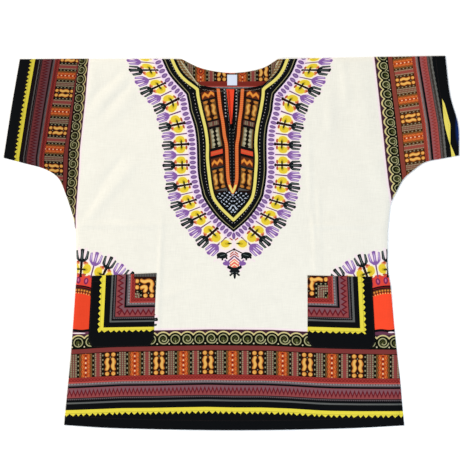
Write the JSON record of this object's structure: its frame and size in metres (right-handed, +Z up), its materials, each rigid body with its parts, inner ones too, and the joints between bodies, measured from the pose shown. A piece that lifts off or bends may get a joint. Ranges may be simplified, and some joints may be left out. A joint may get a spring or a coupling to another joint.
{
  "type": "dashiki shirt",
  "caption": "Short-sleeved printed cotton dashiki laid flat, front up, with patch pockets, a slit neck, and printed neck, cuff and hem borders.",
  "frame": {"origin": "on the surface that the shirt lies on, under the middle of its outline", "axes": "+Z up out of the front, +Y towards the neck, +X towards the right-hand sleeve as seen from above"},
  "size_m": [0.956, 0.786, 0.0071],
  "materials": {
    "front_cotton": "plain-weave cotton, warm white with a printed neck motif and dark printed borders, matt",
    "back_cotton": "plain-weave cotton, warm white with dark printed borders, matt",
    "pocket_cotton": "plain-weave cotton cut from the dark border print, matt",
    "facing_cotton": "plain-weave cotton cut from the red-brown part of the print, matt",
    "label_satin": "smooth woven label, blank, slight sheen"
  },
  "bodies": {
    "root": {"back": "back_cotton", "front": "front_cotton", "pocket_left": "pocket_cotton", "pocket_right": "pocket_cotton", "neck_facing": "facing_cotton", "neck_label": "label_satin"}
  },
  "joints": []
}
